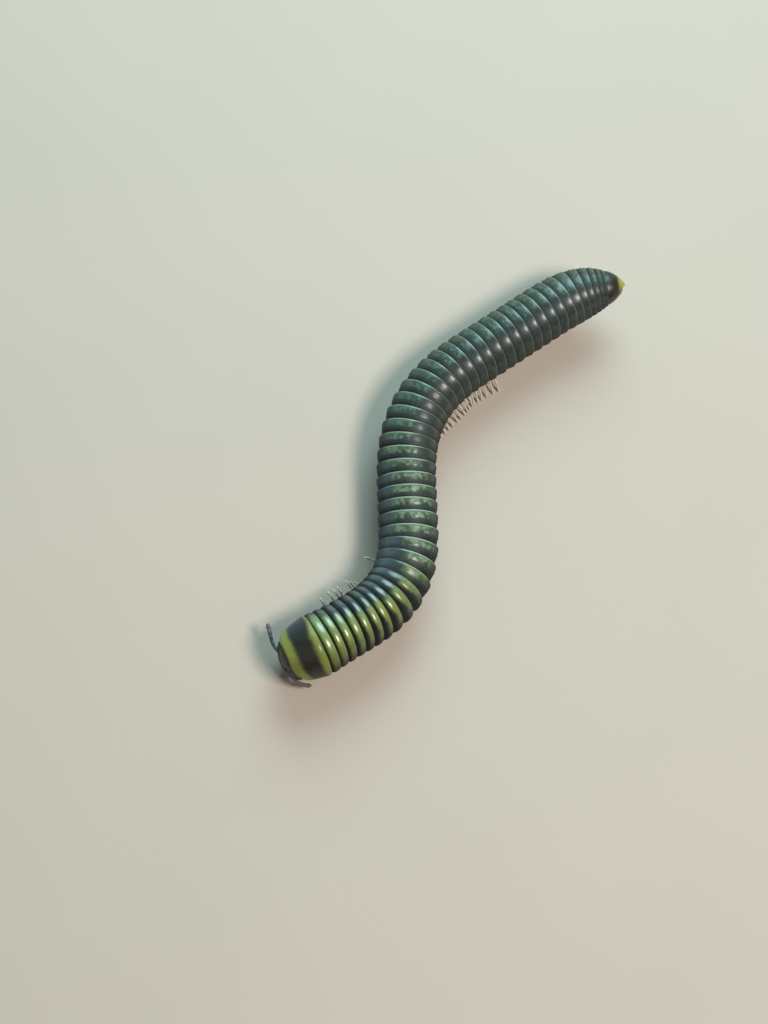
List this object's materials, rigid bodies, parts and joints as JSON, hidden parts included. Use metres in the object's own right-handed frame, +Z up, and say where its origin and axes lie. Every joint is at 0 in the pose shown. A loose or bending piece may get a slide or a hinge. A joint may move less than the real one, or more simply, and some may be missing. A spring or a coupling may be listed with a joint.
{
  "type": "anadenobolus millipede",
  "caption": "Life-size still model of a bumblebee millipede: a round, ringed, shelled body in an S bend on short splayed legs, with a domed first plate over its drooping head.",
  "frame": {"origin": "centre of the footprint's box, at the level of the feet", "axes": "+Z up; +X and +Y in the floor, as the picture's right and up; the head is at -X -Y and the tail at +X +Y"},
  "size_m": [0.031, 0.0381, 0.0059],
  "materials": {
    "head_shell": "satin dark grey cuticle",
    "eye": "glossy black, pebbled",
    "limb": "satin reddish brown cuticle, greyer on the antennae",
    "collum_shell": "glossy, near black with broad yellow-olive margins",
    "ring_shell": "glossy slate with a yellow-green band and a pale rim on each ring",
    "tail_shell": "glossy brown-black with a yellow tip"
  },
  "bodies": {
    "root": {"head": "head_shell", "jaw_left": "head_shell", "jaw_right": "head_shell", "chin_plate": "head_shell", "eye_left": "eye", "eye_right": "eye", "antenna_left": "limb", "antenna_right": "limb", "collum": "collum_shell", "trunk_1": "ring_shell", "trunk_2": "ring_shell", "trunk_3": "ring_shell", "trunk_4": "ring_shell", "trunk_5": "ring_shell", "trunk_6": "ring_shell", "trunk_7": "ring_shell", "trunk_8": "ring_shell", "trunk_9": "ring_shell", "telson": "tail_shell", "anal_valve_left": "tail_shell", "anal_valve_right": "tail_shell"}
  },
  "joints": []
}
